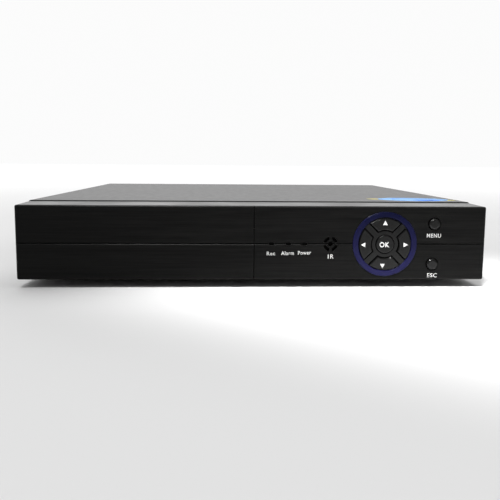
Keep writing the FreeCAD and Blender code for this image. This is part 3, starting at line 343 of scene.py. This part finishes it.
frame["nodes"]["dc_jack"].material_slots[0].material = plastic("jack_grey", (0.020, 0.020, 0.021), 0.5)

INKS = {
    "white": ink("ink_white", (0.66, 0.66, 0.65)),
    "grey": ink("ink_grey", (0.34, 0.37, 0.39)),
    "dark": ink("ink_dark", (0.018, 0.028, 0.040)),
    "black": ink("ink_black", (0.008, 0.010, 0.013)),
}
STICKERS = {
    "green": ink("sticker_green", (0.13, 0.50, 0.05), 0.4),
    "deep_green": ink("sticker_deep_green", (0.015, 0.15, 0.02), 0.4),
    "sky": sticker_paper("sticker_sky", (0.15, 0.27, 0.46)),
    "blue": sticker_paper("sticker_blue", (0.05, 0.14, 0.50)),
    "yellow": sticker_paper("sticker_yellow", (0.50, 0.44, 0.11)),
}
LAMPS = {
    "amber": plastic("lamp_amber", (0.18, 0.125, 0.018), 0.3, 900),
    "green": plastic("lamp_green", (0.085, 0.12, 0.035), 0.3, 900),
}


# ---- where things are ----------------------------------------------------
MOUNTS = {m["name"]: Vector(m["pos_m"]) / MM for m in frame["record"]["mounts"]}
CHANNELS = 4


def middle(node):
    low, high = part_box(node)
    return (low + high) / 2 / MM


def beside(name, right, up):
    """Place in millimetres as seen from behind, from a mount of the rear panel."""
    at = MOUNTS[name]
    return -at.x + right, at.z + up


class Side:
    """A face of the object: print laid on it reads along right, up, and stands out along out."""

    def __init__(self, right, up, out, level):
        self.right, self.up, self.out = Vector(right), Vector(up), Vector(out)
        self.origin = self.out * level

    def point(self, u, v, w):
        return self.origin + (self.right * u + self.up * v + self.out * w) * MM

    def raised(self, level):
        return Side(self.right, self.up, self.out, level)


FRONT = Side((1, 0, 0), (0, 0, 1), (0, -1, 0), -FACE_Y)
REAR = Side((-1, 0, 0), (0, 0, 1), (0, 1, 0), PANEL_Y)
COVER = Side((1, 0, 0), (0, 1, 0), (0, 0, 1), TOP_Z)
SUNK = -0.01               # print starts this far inside its surface, in millimetres
INK = 0.03                 # and ends this far outside it


# ---- flat shapes: outlines and letters in millimetres --------------------
def lettering(text, x, y, width, height, bold=0.0, turn=0.0, spacing=1.12):
    """Vertices and faces of letters fitted to a width and a height, centred at x, y."""
    curve = bpy.data.curves.new("letters", "FONT")
    curve.body = text
    curve.offset = bold
    curve.resolution_u = 5
    curve.extrude = 0.5
    curve.space_character = spacing
    holder = bpy.data.objects.new("letters", curve)
    mesh = bpy.data.meshes.new_from_object(holder)
    points = [v.co.copy() for v in mesh.vertices]
    faces = [tuple(p.vertices) for p in mesh.polygons]
    low = Vector([min(p[k] for p in points) for k in range(3)])
    high = Vector([max(p[k] for p in points) for k in range(3)])
    size = high - low
    c, s = math.cos(turn), math.sin(turn)
    fitted = []
    for p in points:
        u = ((p.x - low.x) / size.x - 0.5) * width
        v = ((p.y - low.y) / size.y - 0.5) * height
        fitted.append((x + u * c - v * s, y + u * s + v * c, p.z + 0.5))
    bpy.data.objects.remove(holder)
    bpy.data.curves.remove(curve)
    bpy.data.meshes.remove(mesh)
    return fitted, faces


def rounded_outline(x, y, width, height, r, steps=5):
    points = []
    for side_x, side_y, start in ((1, 1, 0), (-1, 1, 90), (-1, -1, 180), (1, -1, 270)):
        for k in range(steps + 1):
            a = math.radians(start + 90 * k / steps)
            points.append((x + side_x * (width / 2 - r) + r * math.cos(a),
                           y + side_y * (height / 2 - r) + r * math.sin(a)))
    return points


def oval_outline(x, y, a, b, turn=0.0, steps=48):
    points = []
    c, s = math.cos(turn), math.sin(turn)
    for k in range(steps):
        t = 2 * math.pi * k / steps
        u, v = a * math.cos(t), b * math.sin(t)
        points.append((x + u * c - v * s, y + u * s + v * c))
    return points


def plate(outline, low=0.0, high=1.0):
    """Thin plate of an outline; low and high are shares of the print's thickness."""
    n = len(outline)
    points = [(u, v, low) for u, v in outline] + [(u, v, high) for u, v in outline]
    faces = [tuple(range(n))[::-1], tuple(range(n, 2 * n))]
    faces += [(k, (k + 1) % n, n + (k + 1) % n, n + k) for k in range(n)]
    return points, faces


def band(outer, inner):
    """Thin strip between two outlines with as many points each."""
    n = len(outer)
    points = [(u, v, w) for w in (0, 1) for line in (outer, inner) for u, v in line]
    faces = []
    for k in range(n):
        m = (k + 1) % n
        faces.append((2 * n + k, 2 * n + m, 3 * n + m, 3 * n + k))
        faces.append((k, n + k, n + m, m))
        faces.append((k, m, 2 * n + m, 2 * n + k))
        faces.append((n + k, 3 * n + k, 3 * n + m, n + m))
    return points, faces


def frame_band(x, y, width, height, r, line):
    return band(rounded_outline(x, y, width, height, r),
                rounded_outline(x, y, width - 2 * line, height - 2 * line, r - line))


def ring_band(x, y, r, line):
    return band(oval_outline(x, y, r, r), oval_outline(x, y, r - line, r - line))


def bar(x0, y0, x1, y1, line):
    """Straight stroke between two points."""
    along = Vector((x1 - x0, y1 - y0)).normalized()
    side = Vector((-along.y, along.x)) * line / 2
    return plate([(x0 - side.x, y0 - side.y), (x1 - side.x, y1 - side.y),
                  (x1 + side.x, y1 + side.y), (x0 + side.x, y0 + side.y)])


def arrow(x, y, quarter_turns, width=2.5, height=2.4):
    """Triangle pointing up, turned clockwise."""
    a = -quarter_turns * math.pi / 2
    c, s = math.cos(a), math.sin(a)
    corners = [(-width / 2, -height / 2), (width / 2, -height / 2), (0, height / 2)]
    return plate([(x + u * c - v * s, y + u * s + v * c) for u, v in corners])


# ---- objects -------------------------------------------------------------
def make(name, points, faces, finish, body="case", smooth=False):
    """Closed mesh in metres that rides on a body of the frame."""
    mesh = bpy.data.meshes.new(name)
    mesh.from_pydata(points, [], faces)
    whole = bmesh.new()
    whole.from_mesh(mesh)
    bmesh.ops.recalc_face_normals(whole, faces=whole.faces)
    whole.to_mesh(mesh)
    whole.free()
    mesh.materials.append(finish)
    if smooth:
        mesh.shade_smooth()
    obj = bpy.data.objects.new(name, mesh)
    bpy.context.scene.collection.objects.link(obj)
    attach(obj, body)
    return obj


def print_on(side, name, parts, finish, body="case", low=SUNK, high=INK):
    """One mesh from flat parts, laid on a side of the object."""
    points, faces = [], []
    for some_points, some_faces in parts:
        start = len(points)
        points += [side.point(u, v, low + w * (high - low)) for u, v, w in some_points]
        faces += [tuple(start + k for k in face) for face in some_faces]
    return make(name, points, faces, finish, body)


BLOCK_FACES = [(0, 1, 3, 2), (4, 6, 7, 5), (0, 4, 5, 1), (2, 3, 7, 6), (0, 2, 6, 4), (1, 5, 7, 3)]


def block(x0, x1, y0, y1, z0, z1):
    return [(x, y, z) for x in (x0, x1) for y in (y0, y1) for z in (z0, z1)], BLOCK_FACES


def tube(path, r, sides=10):
    """Round wire through a list of points."""
    points, faces = [], []
    path = [Vector(p) for p in path]
    for k, at in enumerate(path):
        ahead = path[min(k + 1, len(path) - 1)] - path[max(k - 1, 0)]
        ahead.normalize()
        across = ahead.cross(Vector((1, 0, 0))).normalized()
        third = ahead.cross(across)
        for j in range(sides):
            a = 2 * math.pi * j / sides
            points.append(at + r * (math.cos(a) * across + math.sin(a) * third))
    for k in range(len(path) - 1):
        for j in range(sides):
            m = (j + 1) % sides
            faces.append((k * sides + j, k * sides + m, (k + 1) * sides + m, (k + 1) * sides + j))
    faces += [tuple(range(sides))[::-1], tuple(range(len(points) - sides, len(points)))]
    return points, faces


def joined(parts, scale=MM):
    points, faces = [], []
    for some_points, some_faces in parts:
        start = len(points)
        points += [Vector(p) * scale for p in some_points]
        faces += [tuple(start + k for k in face) for face in some_faces]
    return points, faces


def softened(obj, width):
    bevel = obj.modifiers.new("bevel", "BEVEL")
    bevel.width = width * MM
    bevel.segments = 3
    bevel.limit_method = "ANGLE"


# ---- front ---------------------------------------------------------------
def front_print():
    low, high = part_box("light_pipes")
    flange = 2.0               # radius of a light pipe's flange, which ends the box
    lamps = (low.x / MM + flange, (low.x + high.x) / 2 / MM, high.x / MM - flange)
    z = GROOVE_Z / MM
    menu, esc, eye = middle("menu_button"), middle("esc_button"), middle("ir_window")
    lean = math.radians(1.4)
    parts = [lettering("Rec", lamps[0] - 0.3, z - 5.15, 4.4, 2.0, 0.008, lean),
             lettering("Alarm", lamps[1] - 0.3, z - 4.95, 6.8, 2.0, 0.008, lean),
             lettering("Power", lamps[2] - 0.1, z - 4.75, 7.0, 2.0, 0.010, lean),
             lettering("IR", eye.x + 0.2, z - 6.75, 3.1, 2.3, 0.012, spacing=1.3),
             lettering("MENU", menu.x, menu.z - 6.3, 7.7, 2.1, 0.006),
             lettering("ESC", esc.x + 0.4, esc.z - 6.2, 5.4, 2.2, 0.008)]
    print_on(FRONT, "front_print", parts, INKS["white"])


def key_marks():
    x = NAV_X / MM
    z = GROOVE_Z / MM
    reach = 11.6               # from the pad's middle to an arrow's middle
    marks = {"up_button": arrow(x - 0.3, z + reach, 0),
             "right_button": arrow(x + reach - 0.5, z - 0.3, 1),
             "down_button": arrow(x - 1.2, z - reach - 0.2, 2),
             "left_button": arrow(x - reach - 0.4, z - 0.3, 3),
             "ok_button": lettering("OK", x - 0.4, z - 0.2, 5.3, 2.8, 0.022)}
    for node, mark in marks.items():
        face = FRONT.raised(-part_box(node)[0].y)
        print_on(face, node + "_mark", [mark], INKS["white"], body=node)


# ---- rear panel print ----------------------------------------------------
def rear_frames():
    """Lined frames round the video and audio inputs, with a dark band along the foot of each."""
    parts, titles = [], []
    for prefix, right, up, width, height, text in (("video_in_", 0.05, -1.9, 34.9, 33.4, "VIDEO IN"),
                                                   ("audio_in_", 0.45, -1.4, 27.2, 32.0, "AUDIO IN")):
        jacks = [MOUNTS[prefix + str(k + 1)] for k in range(CHANNELS)]
        x = -sum(p.x for p in jacks) / CHANNELS + right
        z = sum(p.z for p in jacks) / CHANNELS + up
        parts.append(frame_band(x, z, width, height, 1.7, 0.38))
        foot = z - height / 2 + 1.45
        parts.append(plate(rounded_outline(x, foot, width - 0.1, 2.8, 1.2), high=1.02))
        titles.append(lettering(text, x, foot, 11.2, 1.75, 0.008))
    return parts, titles


def rear_labels():
    """Dark rounded boxes with light words."""
    boxes, words = [], []
    for mount, right, up, width, height, text in (
            ("video_out", 9.6, -7.0, 8.9, 3.0, "V-OUT"),
            ("audio_out", 0.0, -9.7, 9.9, 3.0, "A-OUT"),
            ("monitor_socket", 0.2, -7.9, 7.8, 3.0, "VGA"),
            ("lan_socket", 15.6, 4.4, 6.1, 3.0, "LAN"),
            ("rs485_terminal", 0.1, -6.15, 8.9, 3.0, "RS485"),
            ("dc_inlet", 0.4, -8.9, 8.9, 3.0, "DC12V"),
            ("usb_lower", 0.0, -5.4, 19.4, 2.1, "USB 1 MOUSE"),
            ("usb_lower", 0.0, -7.7, 19.4, 2.1, "USB 2 BACKUP")):
        x, z = beside(mount, right, up)
        boxes.append(plate(rounded_outline(x, z, width, height, 0.55)))
        words.append(lettering(text, x, z, width - 1.5, height * 0.58, 0.012))
    return boxes, words


def rear_numbers():
    """Channel numbers, the video port's name and the two signs over the header."""
    parts = []
    for number in [str(k + 1) for k in range(CHANNELS)]:
        width = 0.55 if number == "1" else 1.4
        parts.append(lettering(number, *beside("video_in_" + number, 6.45, -6.0), width, 2.0, 0.012))
        parts.append(lettering(number, *beside("audio_in_" + number, 0.4, -6.7), width, 1.9, 0.012))
    parts.append(lettering("HD OUT", *beside("hd_video_port", 0.3, -6.5), 12.8, 2.5, 0.03))
    parts.append(lettering("+", *beside("rs485_terminal", -2.7, 6.5), 1.3, 1.3, 0.01))
    parts.append(bar(*beside("rs485_terminal", 2.1, 6.5), *beside("rs485_terminal", 3.3, 6.5), 0.25))
    return parts


def rear_symbols():
    """Polarity sign over the power inlet and the earth sign beside its screw."""
    line = 0.28
    pole, pole_r = 3.7, 1.05   # a pole's ring beside the middle one, and its radius
    x, z = beside("dc_inlet", 0.7, 7.5)
    parts = [ring_band(x - pole, z, pole_r, line), ring_band(x + pole, z, pole_r, line),
             bar(x - pole + pole_r, z, x - 0.85, z, line), bar(x + 0.85, z, x + pole - pole_r, z, line),
             bar(x + pole - 0.5, z, x + pole + 0.5, z, line), bar(x - pole - 0.5, z, x - pole + 0.5, z, line),
             bar(x - pole, z - 0.5, x - pole, z + 0.5, line), plate(oval_outline(x, z, 0.62, 0.62)),
             ring_band(x, z, pole_r, line * 0.7)]
    x, z = beside("ground_screw", 6.9, 0.0)
    parts += [ring_band(x, z, 2.05, 0.3), bar(x, z + 1.3, x, z - 0.1, line)]
    for half, drop in ((1.15, 0.1), (0.75, 0.65), (0.35, 1.2)):
        parts.append(bar(x - half, z - drop, x + half, z - drop, line))
    return parts


def rear_print():
    frames, titles = rear_frames()
    boxes, words = rear_labels()
    print_on(REAR, "rear_print_lines", frames + rear_numbers() + rear_symbols(), INKS["dark"])
    print_on(REAR, "rear_print_boxes", boxes, INKS["black"])
    print_on(REAR, "rear_print_words", titles + words, INKS["grey"], high=INK * 1.7)


# ---- stickers ------------------------------------------------------------
def check_sticker():
    """Round inspection sticker on the rear panel: ring, dotted circle and a tick."""
    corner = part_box("rear_panel")[1]
    x = -corner.x / MM + 21.8
    z = corner.z / MM - 11.4
    print_on(REAR, "check_sticker", [plate(oval_outline(x, z, 4.8, 4.8))], STICKERS["green"], high=0.06)
    marks = [ring_band(x, z, 4.0, 0.42), bar(x - 1.7, z + 0.1, x - 0.5, z - 1.2, 0.7),
             bar(x - 0.7, z - 1.3, x + 1.9, z + 1.5, 0.7)]
    dots, dot_ring = 16, 3.05
    for k in range(dots):
        a = 2 * math.pi * k / dots
        at = x + dot_ring * math.cos(a), z + dot_ring * math.sin(a)
        marks.append(plate(oval_outline(*at, 0.24, 0.24, steps=12)))
    print_on(REAR, "check_sticker_marks", marks, STICKERS["deep_green"], low=0.05, high=0.075)


def cover_sticker():
    """Oval sticker over a leaning swoosh on the cover, behind the front seam."""
    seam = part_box("top_cover")[0].y / MM
    x = middle("menu_button").x + 1.4
    y = seam + 19.0
    lean = math.radians(-11)
    parts = [plate(oval_outline(x - 1.7, y - 1.5, 26.3, 3.6, lean))]
    print_on(COVER, "cover_sticker_swoosh", parts, STICKERS["yellow"], high=0.03)
    parts = [plate(oval_outline(x, y, 21.0, 13.6, lean / 3))]
    print_on(COVER, "cover_sticker", parts, STICKERS["sky"], high=0.045)
    deep = [plate(oval_outline(x + 6.5, y - 6.5, 8.0, 4.2, lean)), ring_band(x, y, 12.2, 0.7)]
    print_on(COVER, "cover_sticker_marks", deep, STICKERS["blue"], low=0.035, high=0.055)


# ---- small metal and plastic pieces of the connectors --------------------
def lan_contacts():
    """Eight sprung wires rising from the floor of the network socket."""
    at = MOUNTS["lan_socket"]
    foot = at.z - 3.45
    parts = []
    wires, pitch = 8, 1.02
    for k in range(wires):
        x = at.x + (k - (wires - 1) / 2) * pitch
        path = [(x, at.y - 1.6, foot), (x, at.y - 2.2, foot + 0.35), (x, at.y - 5.0, foot + 1.5),
                (x, at.y - 8.0, foot + 2.5), (x, at.y - 9.3, foot + 2.6), (x, at.y - 10.4, foot + 2.2)]
        parts.append(tube(path, 0.19))
    make("lan_contacts", *joined(parts), FINISHES["brass"], smooth=True)


def lan_lamps():
    """Link lamps in the top corners of the tower."""
    at = MOUNTS["lan_socket"]
    half = 1.9
    for name, side, finish in (("lan_lamp_amber", 1, LAMPS["amber"]), ("lan_lamp_green", -1, LAMPS["green"])):
        x = at.x + side * 5.75
        lens = block(x - half, x + half, at.y - 0.46, at.y - 0.06, at.z + 4.55, at.z + 6.45)
        softened(make(name, *joined([lens]), finish), 0.12)


def usb_contacts():
    """Four strips under each tongue, and the sprung leaves above and below the plug."""
    contacts, leaves = [], []
    for name in ("usb_lower", "usb_upper"):
        at = MOUNTS[name]
        for k in range(4):
            x = at.x + (k - 1.5) * 2.25
            contacts.append(block(x - 0.5, x + 0.5, at.y - 9.5, at.y - 1.8, at.z + 0.22, at.z + 0.31))
        for root, tip in ((-2.35, -1.95), (2.35, 2.2)):
            ends = ((at.y - 0.5, at.z + root), (at.y - 5.0, at.z + tip))
            for x in (at.x - 3.4, at.x + 3.4):
                points = [(x + dx, y, z + dz) for dx in (-0.9, 0.9) for y, z in ends for dz in (0, 0.12)]
                leaves.append((points, BLOCK_FACES))
    make("usb_contacts", *joined(contacts), FINISHES["brass"])
    make("usb_springs", *joined(leaves), FINISHES["nickel"])


def hd_contacts():
    """Fine strips on both faces of the port's tongue."""
    low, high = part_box("hd_port_tongue")
    x = (low.x + high.x) / 2 / MM
    y = high.y / MM
    z = MOUNTS["hd_video_port"].z
    parts = []
    for count, foot in ((10, 1.27), (9, 0.06)):
        for k in range(count):
            at = x + (k - (count - 1) / 2)
            parts.append(block(at - 0.2, at + 0.2, y - 5, y - 0.6, z + foot, z + foot + 0.07))
    make("hd_port_contacts", *joined(parts), FINISHES["brass"])


# ---- stage, light and camera ---------------------------------------------
BACKGROUND = 0.97          # brightness of the white behind the object


def floor():
    """Pale paper that fades into the white of the background away from the object."""
    mesh = bpy.data.meshes.new("floor")
    reach = 6.0
    fade = (0.35, 1.1)         # distances from the middle where the fade starts and ends
    white = (0.76, 0.76, 0.76)
    mesh.from_pydata([(-reach, -reach, 0), (reach, -reach, 0), (reach, reach, 0), (-reach, reach, 0)],
                     [], [(0, 1, 2, 3)])
    obj = bpy.data.objects.new("floor", mesh)
    bpy.context.scene.collection.objects.link(obj)
    paper = Finish("floor_paper", white, 0.9, Specular_IOR_Level=0.1)
    away = paper.node("ShaderNodeVectorMath", operation="LENGTH")
    paper.link(paper.place, away.inputs[0])
    glow = paper.level(away.outputs["Value"], *fade, 0.0, BACKGROUND)
    paper.link(glow, paper.shader.inputs["Emission Strength"])
    paper.shader.inputs["Emission Color"].default_value = (1, 1, 1, 1)
    paper.paint(paper.mix(paper.level(away.outputs["Value"], *fade, 0, 1), white, (0, 0, 0)))
    mesh.materials.append(paper.mat)


def softbox(name, place, target, size, power, spread=180):
    """Rectangular lamp aimed at a point; spread is its beam in degrees."""
    data = bpy.data.lights.new(name, "AREA")
    data.shape = "RECTANGLE"
    data.size, data.size_y = size
    data.energy = power
    data.spread = math.radians(spread)
    obj = bpy.data.objects.new(name, data)
    obj.location = place
    obj.rotation_euler = (Vector(target) - Vector(place)).to_track_quat("-Z", "Y").to_euler()
    obj.visible_camera = False
    bpy.context.scene.collection.objects.link(obj)


def world():
    """Pale studio, dimmer in front of the recorder than above and behind it."""
    made = bpy.data.worlds.new("studio")
    made.use_nodes = True
    nodes = made.node_tree.nodes
    links = made.node_tree.links
    shader = nodes["Background"]
    place = nodes.new("ShaderNodeTexCoord")
    split = nodes.new("ShaderNodeSeparateXYZ")
    ramp = nodes.new("ShaderNodeMapRange")
    for key, number in (("From Min", -0.9), ("From Max", 0.5), ("To Min", 0.16), ("To Max", 1.0)):
        ramp.inputs[key].default_value = number
    seen = nodes.new("ShaderNodeLightPath")
    pick = nodes.new("ShaderNodeMix")
    pick.inputs["B"].default_value = BACKGROUND
    links.new(place.outputs["Generated"], split.inputs[0])
    links.new(split.outputs["Y"], ramp.inputs["Value"])
    links.new(seen.outputs["Is Camera Ray"], pick.inputs["Factor"])
    links.new(ramp.outputs["Result"], pick.inputs["A"])
    links.new(pick.outputs["Result"], shader.inputs["Strength"])
    shader.inputs["Color"].default_value = (1, 1, 1, 1)
    bpy.context.scene.world = made


def camera():
    """Close, slightly high and left of centre, turned a little to the right."""
    place = (-14.7 * MM, FACE_Y - 291.9 * MM, 68.3 * MM)
    pitch, yaw, roll = math.radians(6.31), math.radians(2.43), math.radians(0.47)
    data = bpy.data.cameras.new("camera")
    data.lens = 39.96
    data.sensor_width = 36.0
    data.shift_y = -0.058
    obj = bpy.data.objects.new("camera", data)
    forward = Vector((math.sin(yaw) * math.cos(pitch), math.cos(yaw) * math.cos(pitch), -math.sin(pitch)))
    right = Vector((math.cos(yaw), -math.sin(yaw), 0))
    up = right.cross(forward)
    tilted_right = math.cos(roll) * right + math.sin(roll) * up
    tilted_up = -math.sin(roll) * right + math.cos(roll) * up
    turn = Matrix((tilted_right, tilted_up, -forward)).transposed().to_4x4()
    obj.matrix_world = Matrix.Translation(place) @ turn
    bpy.context.scene.collection.objects.link(obj)
    bpy.context.scene.camera = obj


camera()
front_print()
key_marks()
rear_print()
check_sticker()
cover_sticker()
lan_contacts()
lan_lamps()
usb_contacts()
hd_contacts()
floor()
world()
softbox("top_softbox", (0.0, 0.2, 1.3), (0, 0, 0), (1.6, 1.6), 9)
softbox("rear_softbox", (0.0, 1.6, 0.50), (0, 0, 0.05), (2.4, 0.7), 4.8)
softbox("front_softbox", (-0.115, -0.365, 0.654), (0.062, -0.12, 0.024), (0.30, 0.06), 0.30, 20)
bpy.context.scene.view_settings.view_transform = "Standard"
